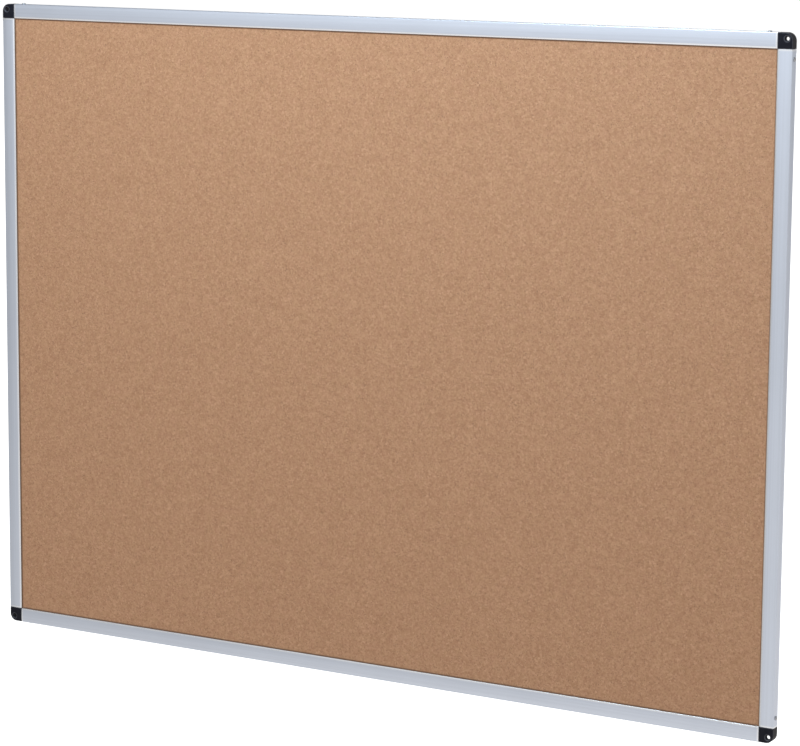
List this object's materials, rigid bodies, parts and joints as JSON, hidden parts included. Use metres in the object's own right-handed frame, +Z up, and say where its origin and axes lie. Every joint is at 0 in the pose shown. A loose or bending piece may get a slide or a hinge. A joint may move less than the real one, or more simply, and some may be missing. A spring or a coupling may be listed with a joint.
{
  "type": "cork bulletin board",
  "caption": "Wall-hung cork pin board: laminated cork panel held by hollow aluminium rails, with moulded black corner caps drilled for wall screws.",
  "frame": {"origin": "centre of the board's outline on the wall plane, at the back faces of the rails", "axes": "+X along the width, +Z up, +Y into the wall, so the cork faces -Y"},
  "size_m": [1.203, 0.013, 0.903],
  "materials": {
    "rail": "satin anodised",
    "corner_cap": "fine moulded grain",
    "screw": "zinc plated",
    "cork": "fine granulated cork",
    "core": "soft fibreboard",
    "backing": "plain backing paper"
  },
  "bodies": {
    "root": {"top_rail": "rail", "bottom_rail": "rail", "left_rail": "rail", "right_rail": "rail", "corner_cap_top_left": "corner_cap", "corner_cap_top_right": "corner_cap", "corner_cap_bottom_left": "corner_cap", "corner_cap_bottom_right": "corner_cap", "top_rail_left_screw": "screw", "top_rail_right_screw": "screw", "right_rail_top_screw": "screw", "right_rail_bottom_screw": "screw", "bottom_rail_right_screw": "screw", "bottom_rail_left_screw": "screw", "left_rail_bottom_screw": "screw", "left_rail_top_screw": "screw", "cork_sheet": "cork", "core_board": "core", "backing_sheet": "backing"}
  },
  "joints": []
}
